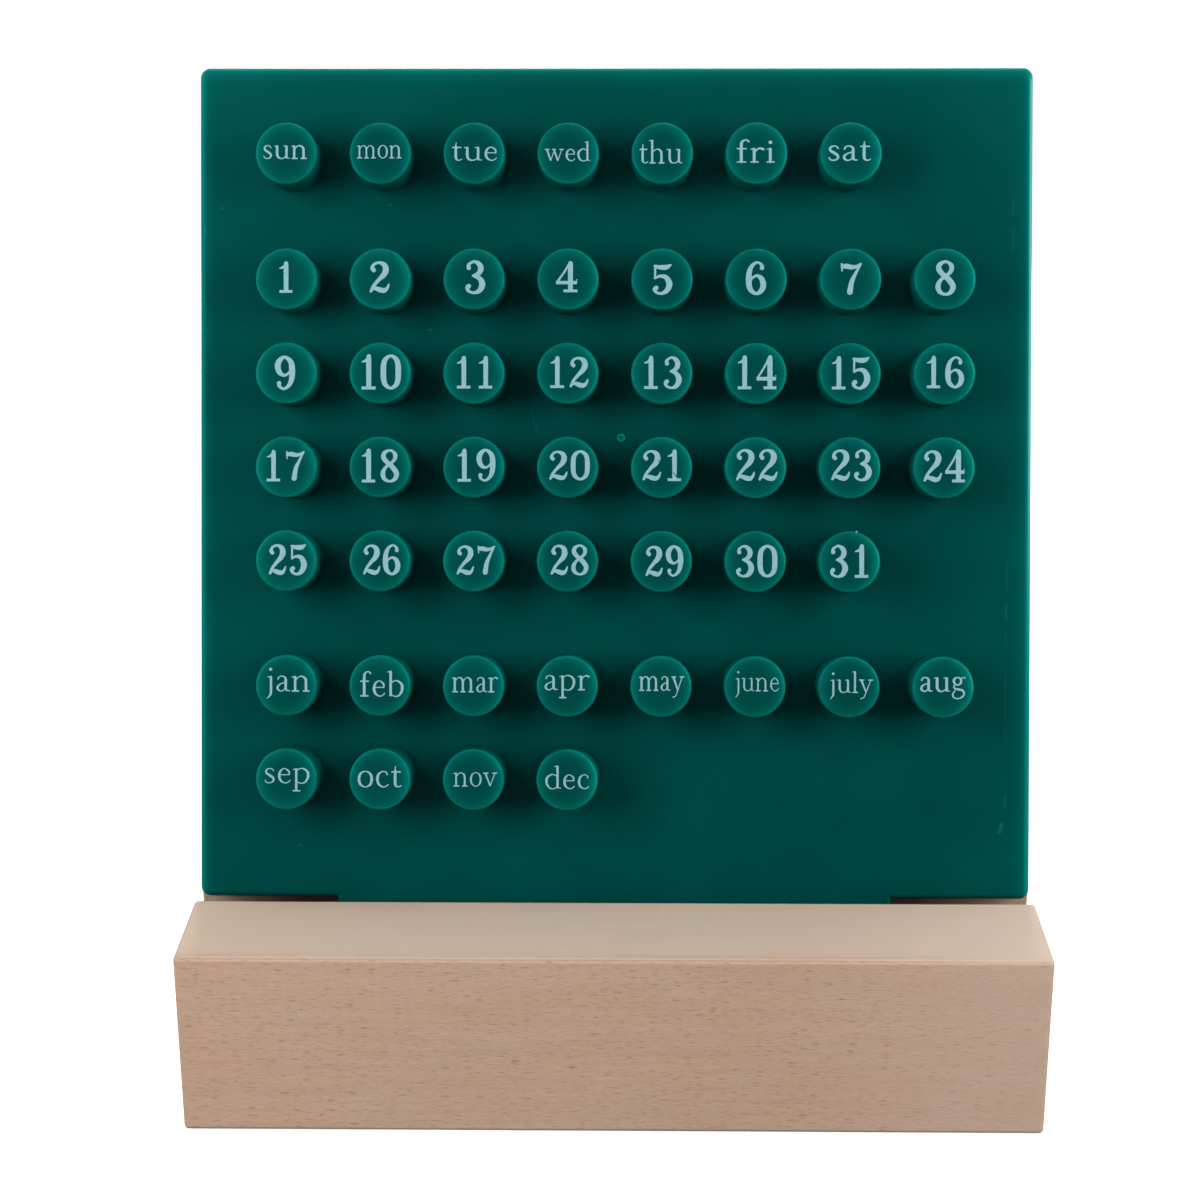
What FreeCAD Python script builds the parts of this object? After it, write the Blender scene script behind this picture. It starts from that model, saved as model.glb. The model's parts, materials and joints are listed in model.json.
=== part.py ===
import FreeCAD, Part
import os
import Sketcher

# Perpetual desk calendar: a green peg board that leans in the groove of a solid beech block.
# The board's back edge rests on the groove's rear lip and its tongue stands on the groove's
# floor, so the board is held by its own weight and lifts out along its own plane.
# Fifty round pegs stand out of the board: seven days, thirty-one dates and twelve months.
# The origin is the centre of the block's underside, with the front towards -Y and +Z up.

# Driving sizes, in millimetres and degrees
SIZES = [
    # beech block
    ("base_height", 33.7),
    ("front_land", 21.7),
    ("rear_land", 21.6),
    ("base_overhang", 0.6),
    ("arris_radius", 0.8),
    # groove along the block's top
    ("groove_depth", 10.7),
    ("groove_chamfer", 0.3),
    ("slot_clearance", 0.1),
    ("seat_gap", 0.05),
    ("cut_overrun", 2.0),
    # peg board
    ("lean_angle", 18.4),
    ("board_thickness", 4.5),
    ("side_margin", 16.75),
    ("top_margin", 16.8),
    ("bottom_margin", 22.0),
    ("corner_radius", 1.8),
    ("edge_rounding", 0.9),
    ("tongue_width", 99.4),
    ("tongue_corner_radius", 1.2),
    ("shoulder_drop", 0.6),
    # layout of the pegs
    ("column_pitch", 16.47),
    ("row_pitch", 16.47),
    ("group_pitch", 21.95),
    # round pegs
    ("peg_diameter", 10.8),
    ("peg_height", 9.0),
    ("peg_rounding", 0.45),
    ("spigot_diameter", 6.0),
    ("spigot_chamfer", 0.4),
    ("socket_depth", 3.0),
    ("socket_clearance", 0.05),
]

# Peg names, row by row from the top. Each row starts at the left-hand column.
DAYS = ["sun", "mon", "tue", "wed", "thu", "fri", "sat"]
MONTHS = ["jan", "feb", "mar", "apr", "may", "june", "july", "aug", "sep", "oct", "nov", "dec"]
COLUMNS = 8
LAST_DATE = 31
DATES = ["%02d" % date for date in range(1, LAST_DATE + 1)]

# Worked-out sizes, as expressions of the driving sizes
BOARD_WIDTH = "(2 * Sizes.side_margin + %d * Sizes.column_pitch)" % (COLUMNS - 1)
SLOPE_SIN = "sin(Sizes.lean_angle)"
SLOPE_COS = "cos(Sizes.lean_angle)"
# A rounded edge of the leaning board stands back this far from where its sharp corner would be.
EDGE_RELIEF = "(Sizes.edge_rounding * (%s + %s - 1))" % (SLOPE_SIN, SLOPE_COS)
# The tongue runs along the slope from the block's top down to the groove's floor.
TONGUE_REACH = (
    "((Sizes.groove_depth - Sizes.seat_gap - Sizes.board_thickness * %s + %s) / %s)"
    % (SLOPE_SIN, EDGE_RELIEF, SLOPE_COS)
)
TONGUE_LENGTH = "(%s - Sizes.shoulder_drop)" % TONGUE_REACH
# The groove is as wide as the leaning board needs between its front wall and its rear lip.
GROOVE_WIDTH = (
    "(2 * Sizes.slot_clearance + %s * %s - %s + Sizes.board_thickness / %s)"
    % (TONGUE_REACH, SLOPE_SIN, EDGE_RELIEF, SLOPE_COS)
)
BASE_WIDTH = "(%s + 2 * Sizes.base_overhang)" % BOARD_WIDTH
BASE_DEPTH = "(Sizes.front_land + %s + Sizes.rear_land)" % GROOVE_WIDTH
GROOVE_FRONT = "(Sizes.front_land - %s / 2)" % BASE_DEPTH
# The board's own origin is the middle of its shoulder line, on its front face.
SHOULDER_Y = (
    "(%s + Sizes.slot_clearance - %s + %s * %s)"
    % (GROOVE_FRONT, EDGE_RELIEF, TONGUE_LENGTH, SLOPE_SIN)
)
SHOULDER_Z = "(Sizes.base_height - Sizes.shoulder_drop * %s)" % SLOPE_COS


def row_places():
    """Return the rows of peg names, each with its height above the board's shoulder line."""
    date_rows = [DATES[first:first + COLUMNS] for first in range(0, LAST_DATE, COLUMNS)]
    month_rows = [MONTHS[:COLUMNS], MONTHS[COLUMNS:]]
    lowest = "Sizes.bottom_margin"
    month_top = "%s + %d * Sizes.row_pitch" % (lowest, len(month_rows) - 1)
    date_top = "%s + Sizes.group_pitch + %d * Sizes.row_pitch" % (month_top, len(date_rows) - 1)
    rows = [(DAYS, "(%s + Sizes.group_pitch)" % date_top)]
    for step, names in enumerate(date_rows):
        rows.append((names, "(%s - %d * Sizes.row_pitch)" % (date_top, step)))
    for step, names in enumerate(month_rows):
        rows.append((names, "(%s - %d * Sizes.row_pitch)" % (month_top, step)))
    return rows


ROWS = row_places()
BOARD_HEIGHT = "(%s + Sizes.top_margin)" % ROWS[0][1]
FIRST_COLUMN = "(Sizes.side_margin - %s / 2)" % BOARD_WIDTH


def make_sheet(doc):
    """Write the driving sizes into the document's spreadsheet."""
    sheet = doc.addObject("Spreadsheet::Sheet", "Sizes")
    for line, (alias, value) in enumerate(SIZES, start=1):
        sheet.set("A%d" % line, alias.replace("_", " "))
        sheet.set("B%d" % line, str(value))
        sheet.setAlias("B%d" % line, alias)
    doc.recompute()
    return sheet


def value_of(doc, expression):
    """Return the present value of an expression of the driving sizes."""
    return float(doc.Sizes.evalExpression(expression))


def new_body(doc, label):
    body = doc.addObject("PartDesign::Body", "Body_" + label)
    body.Label = label
    return body


def new_sketch(body, name, plane_role):
    """Attach a new sketch to one of the body's own origin planes."""
    sketch = body.newObject("Sketcher::SketchObject", name)
    planes = [item for item in body.Origin.OriginFeatures if item.Role == plane_role]
    sketch.AttachmentSupport = [(planes[0], "")]
    sketch.MapMode = "FlatFace"
    return sketch


def bind_coordinate(sketch, kind, element, point, name, expression):
    """Tie one coordinate of a sketch point to an expression of the driving sizes."""
    number = sketch.addConstraint(
        Sketcher.Constraint(kind, element, point, value_of(sketch.Document, expression))
    )
    sketch.renameConstraint(number, name)
    sketch.setExpression("Constraints." + name, expression)


def add_outline(sketch, corners):
    """Draw a closed outline of straight lines through corners given as pairs of expressions."""
    points = [
        FreeCAD.Vector(value_of(sketch.Document, x), value_of(sketch.Document, y), 0)
        for x, y in corners
    ]
    following = points[1:] + points[:1]
    lines = [Part.LineSegment(start, end) for start, end in zip(points, following)]
    sketch.addGeometry(lines, False)
    for line in range(len(lines)):
        after = (line + 1) % len(lines)
        sketch.addConstraint(Sketcher.Constraint("Coincident", line, 2, after, 1))
    for line, (x, y) in enumerate(corners):
        bind_coordinate(sketch, "DistanceX", line, 1, "x%d" % line, x)
        bind_coordinate(sketch, "DistanceY", line, 1, "y%d" % line, y)


def add_circle(sketch, x, y, diameter):
    """Draw one circle whose centre and diameter are expressions."""
    doc = sketch.Document
    centre = FreeCAD.Vector(value_of(doc, x), value_of(doc, y), 0)
    radius = value_of(doc, diameter) / 2
    circle = sketch.addGeometry(Part.Circle(centre, FreeCAD.Vector(0, 0, 1), radius), False)
    bind_coordinate(sketch, "DistanceX", circle, 3, "centre_x", x)
    bind_coordinate(sketch, "DistanceY", circle, 3, "centre_y", y)
    number = sketch.addConstraint(Sketcher.Constraint("Diameter", circle, 2 * radius))
    sketch.renameConstraint(number, "diameter")
    sketch.setExpression("Constraints.diameter", diameter)


def add_pad(body, sketch, name, length, side="One side", backwards=False):
    pad = body.newObject("PartDesign::Pad", name)
    pad.Profile = sketch
    pad.SideType = side
    pad.Reversed = backwards
    pad.setExpression("Length", length)
    body.Document.recompute()
    return pad


def edges_where(feature, test):
    """List the names of a feature's edges whose ends and middle all meet the test."""
    names = []
    for number, edge in enumerate(feature.Shape.Edges, start=1):
        middle = edge.valueAt((edge.FirstParameter + edge.LastParameter) / 2)
        if all(test(point) for point in [v.Point for v in edge.Vertexes] + [middle]):
            names.append("Edge%d" % number)
    return names


def add_fillet(body, feature, name, edges, radius):
    fillet = body.newObject("PartDesign::Fillet", name)
    fillet.Base = (feature, edges)
    fillet.setExpression("Radius", radius)
    body.Document.recompute()
    return fillet


def add_chamfer(body, feature, name, edges, size):
    chamfer = body.newObject("PartDesign::Chamfer", name)
    chamfer.Base = (feature, edges)
    chamfer.setExpression("Size", size)
    body.Document.recompute()
    return chamfer


def place_on_slope(body, across, along):
    """Lay a body on the board's front face, across it and along the slope from the shoulders."""
    tilt = 90 - value_of(body.Document, "Sizes.lean_angle")
    body.Placement = FreeCAD.Placement(
        FreeCAD.Vector(0, 0, 0), FreeCAD.Rotation(FreeCAD.Vector(1, 0, 0), tilt)
    )
    body.setExpression("Placement.Rotation.Angle", "90 - Sizes.lean_angle")
    body.setExpression("Placement.Base.x", across)
    body.setExpression("Placement.Base.y", "%s + %s * %s" % (SHOULDER_Y, along, SLOPE_SIN))
    body.setExpression("Placement.Base.z", "%s + %s * %s" % (SHOULDER_Z, along, SLOPE_COS))


def make_base_block(doc):
    """One stick of beech with rounded arrises and a straight groove from end to end."""
    body = new_body(doc, "base_block")
    half_depth = "%s / 2" % BASE_DEPTH
    section = new_sketch(body, "BlockSection", "YZ_Plane")
    add_outline(section, [
        ("-" + half_depth, "0"),
        (half_depth, "0"),
        (half_depth, "Sizes.base_height"),
        ("-" + half_depth, "Sizes.base_height"),
    ])
    stick = add_pad(body, section, "BlockPad", BASE_WIDTH, side="Symmetric")
    every_edge = edges_where(stick, lambda point: True)
    rounded = add_fillet(body, stick, "BlockArrises", every_edge, "Sizes.arris_radius")

    floor = "Sizes.base_height - Sizes.groove_depth"
    over = "Sizes.base_height + Sizes.cut_overrun"
    rear = "%s + %s" % (GROOVE_FRONT, GROOVE_WIDTH)
    section = new_sketch(body, "GrooveSection", "YZ_Plane")
    add_outline(section, [(GROOVE_FRONT, floor), (rear, floor), (rear, over), (GROOVE_FRONT, over)])
    groove = body.newObject("PartDesign::Pocket", "Groove")
    groove.Profile = section
    groove.SideType = "Symmetric"
    groove.setExpression("Length", "%s + Sizes.cut_overrun" % BASE_WIDTH)
    doc.recompute()
    if groove.Shape.Volume >= rounded.Shape.Volume:
        raise RuntimeError("the groove takes nothing from the block")

    walls = [value_of(doc, GROOVE_FRONT), value_of(doc, rear)]
    top = value_of(doc, "Sizes.base_height")
    inner_width = value_of(doc, "%s / 2 - 2 * Sizes.arris_radius" % BASE_WIDTH)
    lips = []
    for number, edge in enumerate(groove.Shape.Edges, start=1):
        points = [vertex.Point for vertex in edge.Vertexes]
        on_wall = any(all(same(point.y, wall) for point in points) for wall in walls)
        on_top = all(same(point.z, top) for point in points)
        if on_wall and on_top and edge.Length > inner_width:
            lips.append("Edge%d" % number)
    add_chamfer(body, groove, "GrooveLips", lips, "Sizes.groove_chamfer")
    return body


def same(first, second):
    """Tell whether two lengths agree to within the modeller's own precision."""
    return abs(first - second) < Part.Precision.confusion() * 10


def make_board(doc):
    """A moulded square plate with a central tongue below and a blind socket for each peg."""
    body = new_body(doc, "calendar_board")
    half_width = "%s / 2" % BOARD_WIDTH
    half_tongue = "Sizes.tongue_width / 2"
    outline = new_sketch(body, "BoardOutline", "XY_Plane")
    add_outline(outline, [
        ("-" + half_width, "0"),
        ("-" + half_tongue, "0"),
        ("-" + half_tongue, "-" + TONGUE_LENGTH),
        (half_tongue, "-" + TONGUE_LENGTH),
        (half_tongue, "0"),
        (half_width, "0"),
        (half_width, BOARD_HEIGHT),
        ("-" + half_width, BOARD_HEIGHT),
    ])
    plate = add_pad(body, outline, "BoardPad", "Sizes.board_thickness", backwards=True)

    thickness = value_of(doc, "Sizes.board_thickness")
    side = value_of(doc, half_width)
    foot = value_of(doc, "-" + TONGUE_LENGTH)

    def is_upright(edge):
        return same(edge.Length, thickness)

    def corner_edges(feature, wanted):
        names = []
        for number, edge in enumerate(feature.Shape.Edges, start=1):
            if is_upright(edge) and wanted(edge.Vertexes[0].Point):
                names.append("Edge%d" % number)
        return names

    outer = corner_edges(plate, lambda point: same(abs(point.x), side))
    corners = add_fillet(body, plate, "BoardCorners", outer, "Sizes.corner_radius")
    lower = corner_edges(corners, lambda point: same(point.y, foot))
    tongue = add_fillet(body, corners, "TongueCorners", lower, "Sizes.tongue_corner_radius")
    rims = edges_where(tongue, lambda point: same(point.z, 0))
    rims += edges_where(tongue, lambda point: same(point.z, -thickness))
    solid = add_fillet(body, tongue, "BoardRims", rims, "Sizes.edge_rounding")

    for names, height in ROWS:
        socket = new_sketch(body, "Socket_" + names[0], "XY_Plane")
        width = "Sizes.spigot_diameter + 2 * Sizes.socket_clearance"
        add_circle(socket, FIRST_COLUMN, height, width)
        pocket = body.newObject("PartDesign::Pocket", "Pocket_" + names[0])
        pocket.Profile = socket
        pocket.setExpression("Length", "Sizes.socket_depth")
        doc.recompute()
        row = body.newObject("PartDesign::LinearPattern", "Row_" + names[0])
        row.Originals = [pocket]
        row.Direction = (socket, ["H_Axis"])
        row.Occurrences = len(names)
        row.setExpression("Length", "Sizes.column_pitch * %d" % (len(names) - 1))
        body.Tip = row
        doc.recompute()
        if row.Shape.Volume >= solid.Shape.Volume:
            raise RuntimeError("a row of sockets takes nothing from the board")
        solid = row
    place_on_slope(body, "0", "0")
    return body


def make_peg(doc, name, column, height):
    """One round peg: a softly rounded head on the board's face and a spigot in its socket."""
    body = new_body(doc, "peg_" + name)
    head = new_sketch(body, "Head_" + name, "XY_Plane")
    add_circle(head, "0", "0", "Sizes.peg_diameter")
    solid = add_pad(body, head, "HeadPad_" + name, "Sizes.peg_height")
    crown = value_of(doc, "Sizes.peg_height")
    rim = edges_where(solid, lambda point: same(point.z, crown))
    solid = add_fillet(body, solid, "HeadRim_" + name, rim, "Sizes.peg_rounding")

    shank = new_sketch(body, "Spigot_" + name, "XY_Plane")
    add_circle(shank, "0", "0", "Sizes.spigot_diameter")
    length = "Sizes.socket_depth - Sizes.socket_clearance"
    solid = add_pad(body, shank, "SpigotPad_" + name, length, backwards=True)
    end = -value_of(doc, length)
    tip = edges_where(solid, lambda point: same(point.z, end))
    add_chamfer(body, solid, "SpigotTip_" + name, tip, "Sizes.spigot_chamfer")
    place_on_slope(body, "%s + %d * Sizes.column_pitch" % (FIRST_COLUMN, column), height)
    return body


def check_document(doc, bodies):
    """Stop if any object of the document failed or any sub-part is not one valid solid."""
    for item in doc.Objects:
        if "Invalid" in item.State or "Error" in item.State:
            raise RuntimeError("%s did not recompute: %s" % (item.Label, item.State))
    for body in bodies:
        if body.Shape.isNull() or not body.Shape.isValid() or len(body.Shape.Solids) != 1:
            raise RuntimeError("%s is not one valid solid" % body.Label)


def main():
    doc = FreeCAD.newDocument("PegBoardCalendar")
    make_sheet(doc)
    bodies = [make_base_block(doc), make_board(doc)]
    for names, height in ROWS:
        for column, name in enumerate(names):
            bodies.append(make_peg(doc, name, column, height))
    doc.recompute()
    check_document(doc, bodies)
    os.makedirs("parts", exist_ok=True)
    for body in bodies:
        body.Shape.exportStep("parts/%s.step" % body.Label)
        box = body.Shape.BoundBox
        print("%-16s %9.1f mm3  x %7.2f %7.2f  y %7.2f %7.2f  z %7.2f %7.2f" % (
            body.Label, body.Shape.Volume,
            box.XMin, box.XMax, box.YMin, box.YMax, box.ZMin, box.ZMax,
        ))


main()
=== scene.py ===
"""Looks of a perpetual desk calendar: a green peg board that leans in the groove of a beech block.

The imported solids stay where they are. The block and the board get their finishes, each peg is
turned anew with a glow at its rim, and the print on the peg tops is drawn with pen strokes.
Shapes are worked out in millimetres and become metres where a mesh is made.
"""

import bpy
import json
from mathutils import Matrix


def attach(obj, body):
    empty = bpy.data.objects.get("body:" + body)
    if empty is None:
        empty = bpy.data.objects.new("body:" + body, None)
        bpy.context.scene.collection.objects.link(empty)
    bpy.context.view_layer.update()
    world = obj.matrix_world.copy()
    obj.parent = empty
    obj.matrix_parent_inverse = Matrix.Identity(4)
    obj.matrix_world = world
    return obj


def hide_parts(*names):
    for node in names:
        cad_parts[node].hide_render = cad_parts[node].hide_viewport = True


bl_info = {
    "name": "Peg board desk calendar",
    "version": (1, 0, 0),
    "blender": (4, 5, 0),
    "location": "3D View > Sidebar > Calendar",
    "description": "Finishes, pegs, print and studio of a perpetual desk calendar",
    "category": "Add Mesh",
}

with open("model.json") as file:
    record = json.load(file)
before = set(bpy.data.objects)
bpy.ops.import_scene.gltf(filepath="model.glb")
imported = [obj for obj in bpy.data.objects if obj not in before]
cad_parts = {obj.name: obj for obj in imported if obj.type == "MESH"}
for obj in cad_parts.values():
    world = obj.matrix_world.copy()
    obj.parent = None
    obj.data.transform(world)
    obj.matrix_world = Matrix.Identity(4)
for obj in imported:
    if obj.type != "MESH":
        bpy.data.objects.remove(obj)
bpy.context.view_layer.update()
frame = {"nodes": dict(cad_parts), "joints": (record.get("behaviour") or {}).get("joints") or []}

import json

import bpy
import numpy as np
from mathutils import Matrix, Vector

MILLIMETRE = 0.001
# An edge that turns by more degrees than this isn't smoothed
SHARP_ANGLE = 50

# Names of the pegs, row by row
DAYS = "sun mon tue wed thu fri sat".split()
DATES = ["%02d" % date for date in range(1, 32)]
MONTHS = "jan feb mar apr may june july aug sep oct nov dec".split()

# The board's own directions: across it, up its slope, and straight out of its face
ACROSS = np.array([1.0, 0.0, 0.0])
SLOPE = np.array(frame["joints"][0]["axis"], float)
OUT = np.cross(ACROSS, SLOPE)
BOARD_AXES = np.array([ACROSS, SLOPE, OUT])
# From the board's shoulders up to the lowest row of pegs, in millimetres
BOTTOM_MARGIN = 22.0


# Strokes of the print

def pen(*points):
    """A stroke through points given as right, up and half width."""
    return "pen", points


def loop(*points):
    """A closed pen stroke."""
    return "loop", points


def slab(*sides):
    """A rectangle given as left, low, right and high."""
    return "slab", sides


# Print of the figures: the width each one takes, then its strokes, in hundredths of the height. The
# stroke of the 6 makes the 9 too
SIX = ((50, 80, 8), (49, 89, 6), (36, 96.5, 5.2), (21, 87, 7), (12.5, 69, 9), (10.5, 42, 10.2),
    (15, 17, 9), (33, 3.5, 6), (49, 14, 9), (54, 31, 10), (48, 49, 8.6), (34, 57, 5.6), (21, 50, 5),
    (16, 42, 5))
FIGURES = {
    "0": (66, [loop((33, 96, 6), (14, 82, 8.9), (10, 50, 9.9), (14, 18, 8.9), (33, 4, 6), (52, 18, 8.9),
        (56, 50, 9.9), (52, 82, 8.9))]),
    "1": (46, [pen((26, 95, 4.3), (25, 88, 8.8), (25, 10, 8.8)), pen((23, 90, 6), (15, 82, 5.8),
        (5, 79, 3.8)), slab(3, 0, 46, 8.6)]),
    "2": (66, [pen((15, 71.5, 8.2), (10.5, 78, 7.3), (17, 90, 5.9), (32, 94.5, 5.9), (47, 87, 9.2),
        (51, 72, 10.9), (45, 57, 9.8), (30, 41, 7.3), (15, 23, 6.3), (7, 6, 5.7)), pen((9, 11, 5.2),
        (20, 14.5, 7.3), (34, 10, 9.4), (46, 8, 8.6), (55, 15, 6.3), (60, 27, 4.2))]),
    "3": (66, [pen((15, 77, 8), (15, 87, 6), (30, 95.5, 5.6), (44, 88, 8.6), (49, 75, 9.6), (43, 61, 8.2),
        (27, 53.5, 5)), pen((27, 54, 5), (45, 46, 8.4), (53, 28, 10.4), (45, 10, 8.6), (29, 3.5, 5.6),
        (14, 9, 6), (11, 19, 7.6), (15, 23, 8))]),
    "4": (68, [pen((47, 96, 3.9), (46.5, 88, 9.2), (46.5, 10, 9.2)), pen((44, 94, 5.3), (26, 62, 4.9),
        (8, 35, 4.9)), slab(4, 26.1, 65, 36.9), pen((63.5, 32, 4.9), (65, 40, 3.7)), slab(26, 0, 67, 8.8)]),
    "5": (64, [pen((11, 92.5, 5.9), (26, 88.5, 8.7), (44, 89, 9.1), (57, 96, 4.3)), pen((12, 91, 5.1),
        (11.5, 53, 4.9)), pen((11.5, 54, 4.9), (27, 60, 6.4), (44, 55, 9.2), (53, 34, 11.1), (45, 13, 9.2),
        (29, 3.5, 6), (14, 9, 6.4), (11, 18, 8.3), (15, 22, 8.5))]),
    "6": (66, [pen(*SIX)]),
    "7": (64, [pen((6.5, 95, 4.5), (7.5, 74, 3.8)), pen((9, 87, 7), (20, 88, 9.2), (36, 85, 8.2),
        (50, 88, 6), (61, 96, 4)), pen((60, 93, 4.5), (46, 66, 6.2), (35, 40, 8.6), (30, 10, 10))]),
    "8": (66, [loop((33, 96, 5.4), (16, 88, 7.7), (13.5, 74, 9), (25, 60, 8.6), (42, 46, 9.4),
        (55, 27, 9.4), (49, 10, 7.7), (33, 3.5, 5.4), (16, 11, 7.7), (11, 27, 8.6), (19, 44, 6.5),
        (34, 55, 5.8), (49, 69, 7.3), (51, 82, 8.1), (46, 90, 6.5))]),
    "9": (66, [pen(*((66 - right, 100 - up, half) for right, up, half in SIX))]),
}

# Print of the words, in the same way, in hundredths of the height of a small x
BOWL = pen((20, 80, 5.5), (38, 95, 6), (60, 95, 7.5), (82, 74, 10.5), (84, 40, 10.5), (68, 9, 8),
    (45, 2, 6), (22, 12, 5.5))
ARCH = pen((22, 70, 5.5), (38, 90, 6), (58, 95, 7.5), (77, 80, 10.5), (80, 55, 11), (80, 10, 11))
STEM, TALL_STEM = (pen((20, top, 10.5), (20, 8, 10.5)) for top in (90, 150))
FLAG, TALL_FLAG = (pen((20, top, 5.5), (4, top - 4, 4)) for top in (94, 154))
FOOT, FAR_FOOT = slab(2, 0, 42, 9), slab(62, 0, 100, 9)
LETTERS = dict(
    a=(84, [pen((15, 78, 7.5), (20, 90, 6.5), (36, 96, 6), (54, 88, 8.5), (58, 70, 10.5), (58, 24, 10.5),
        (64, 8, 7.5), (80, 6, 4.5)), pen((56, 58, 5.5), (30, 48, 6.5), (14, 32, 9.5), (14, 16, 9.5),
        (27, 4, 6.5), (42, 7, 6), (56, 20, 5.5))]),
    b=(98, [pen((20, 150, 10.5), (20, 10, 10.5)), TALL_FLAG, BOWL]),
    c=(78, [pen((65, 78, 8), (60, 90, 6.5), (42, 96, 6), (20, 80, 9.5), (13, 50, 11), (20, 20, 9.5),
        (42, 4, 6.5), (60, 8, 5.5), (70, 18, 4))]),
    d=(100, [pen((78, 150, 10.5), (78, 12, 10.5)), pen((78, 154, 5.5), (62, 150, 4)), pen((80, 10, 7.5),
        (96, 6, 5)), pen((78, 80, 5.5), (60, 95, 6), (38, 95, 7.5), (16, 74, 10.5), (14, 40, 10.5),
        (30, 9, 8), (53, 2, 6), (76, 14, 5.5))]),
    e=(80, [pen((14, 56, 5.5), (68, 56, 5.5)), pen((68, 56, 6.5), (65, 78, 8.5), (42, 96, 6),
        (20, 80, 9), (13, 50, 11), (20, 20, 9.5), (42, 4, 6.5), (60, 8, 5.5), (72, 20, 4))]),
    f=(62, [pen((61, 142, 8), (50, 152, 6), (34, 145, 7.5), (26, 120, 10.5), (26, 8, 11)),
        slab(4, 89, 52, 98), slab(4, 0, 50, 9)]),
    g=(86, [loop((40, 97, 6), (19, 86, 9), (17, 62, 9.5), (38, 46, 6), (58, 58, 9), (60, 83, 9)),
        pen((60, 90, 5.5), (78, 96, 5.5), (85, 93, 6.5)), pen((25, 48, 5.5), (15, 36, 6.5), (22, 24, 7.5),
        (45, 17, 9), (70, 11, 9), (80, -10, 8.5), (70, -31, 7.5), (40, -44, 6), (13, -33, 7),
        (10, -12, 7.5), (25, 12, 5))]),
    h=(106, [TALL_STEM, TALL_FLAG, ARCH, FOOT, FAR_FOOT]),
    i=(44, [STEM, FLAG, FOOT, pen((20, 136, 12.5), (21, 136, 12.5))]),
    j=(42, [pen((24, 90, 10.5), (24, 0, 10.5), (20, -20, 9), (4, -40, 5.5)), pen((24, 93, 6),
        (7, 90, 4)), pen((22, 138, 12.5), (23, 138, 12.5))]),
    l=(44, [TALL_STEM, TALL_FLAG, FOOT]),
    m=(160, [STEM, FLAG, FOOT, *(pen((22 + step, 70, 5.5), (38 + step, 90, 6), (56 + step, 95, 7.5),
        (74 + step, 80, 10.5), (77 + step, 55, 10.5), (77 + step, 10, 10.5)) for step in (0, 57)),
        slab(60, 0, 95, 9), slab(117, 0, 154, 9)]),
    n=(106, [STEM, FLAG, ARCH, FOOT, FAR_FOOT]),
    o=(92, [loop((46, 97, 6), (20, 82, 9.5), (12, 50, 11), (20, 18, 9.5), (46, 3, 6), (72, 18, 9.5),
        (80, 50, 11), (72, 82, 9.5))]),
    p=(100, [pen((20, 90, 10.5), (20, -44, 10.5)), FLAG, slab(0, -51, 42, -42), BOWL]),
    r=(72, [STEM, FLAG, FOOT, pen((22, 70, 5.5), (36, 90, 6.5), (50, 96, 7.5), (64, 90, 9))]),
    s=(68, [pen((56, 80, 6), (50, 91, 6), (33, 96, 6), (16, 85, 8.5), (18, 66, 9.5), (36, 51, 10.5),
        (54, 34, 10), (53, 14, 8), (34, 4, 6), (17, 8, 6), (10, 20, 6))]),
    t=(60, [pen((26, 125, 3), (24, 108, 7), (24, 92, 10.5), (24, 27, 11), (30, 9, 8), (44, 4.5, 6),
        (56, 12, 4)), slab(4, 89, 54, 98)]),
    u=(106, [pen((22, 90, 10.5), (22, 35, 11), (30, 12, 9.5), (48, 4, 6.5), (68, 10, 6), (80, 27, 5.5)),
        pen((82, 90, 10.5), (82, 12, 10.5)), pen((84, 10, 7.5), (100, 5, 4.5)), pen((22, 94, 5.5),
        (5, 92, 4)), pen((82, 94, 5.5), (65, 92, 4))]),
    v=(96, [pen((16, 92, 10.5), (48, 8, 9)), pen((82, 92, 6), (50, 8, 5.5)), slab(0, 89, 36, 98),
        slab(64, 89, 98, 98)]),
    w=(140, [pen((16, 92, 9.5), (42, 8, 8.5)), pen((70, 90, 5.5), (44, 8, 5.5)), pen((66, 92, 9.5),
        (94, 8, 8.5)), pen((122, 92, 5.5), (96, 8, 5.5)), slab(0, 89, 34, 98), slab(52, 89, 80, 98),
        slab(106, 89, 138, 98)]),
    y=(96, [pen((16, 92, 10.5), (50, 8, 9)), pen((84, 92, 6), (50, 5, 6.5), (34, -31, 6),
        (12, -40, 7.5)), slab(0, 89, 36, 98), slab(66, 89, 100, 98)]),
)

# Each word's print: its width, the height of its x, how far its middle is to the right of the peg's
# middle and above it, all in millimetres, and what is added to its half widths, as a share of the x
WORDS = dict(
    sun=(7.6, 2.45, -.2, .2, -.023), mon=(7.75, 2.35, -.15, .25, -.043), tue=(7.85, 2.5, .1, .25, -.021),
    wed=(7.95, 2.2, -.1, .3, -.024), thu=(7.45, 2.65, -.25, .25, -.034),
    fri=(6.65, 2.6, -.15, .35, -.007), sat=(7.5, 2.7, -.25, .35, -.014), jan=(7.55, 2.85, .35, .4, -.031),
    feb=(7.65, 2.9, .4, .35, -.026), mar=(8.1, 2.75, .3, .25, -.035), apr=(8, 2.7, 0, -.05, -.026),
    may=(7.9, 2.65, .1, -.05, -.035), june=(7.6, 2.45, .4, .45, -.048), july=(7.5, 2.45, .45, .35, -.034),
    aug=(7.95, 2.65, -.05, -.1, -.018), sep=(7.95, 2.75, .15, -.1, -.029), oct=(7.8, 2.95, 0, .45, -.029),
    nov=(7.7, 2.55, .35, .05, -.044), dec=(7.75, 2.65, .05, .45, -.03),
)
LETTER_GAP = 0.06
# Half width of a word's thinnest stroke, as a share of the x
THINNEST_STROKE = 0.034

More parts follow.
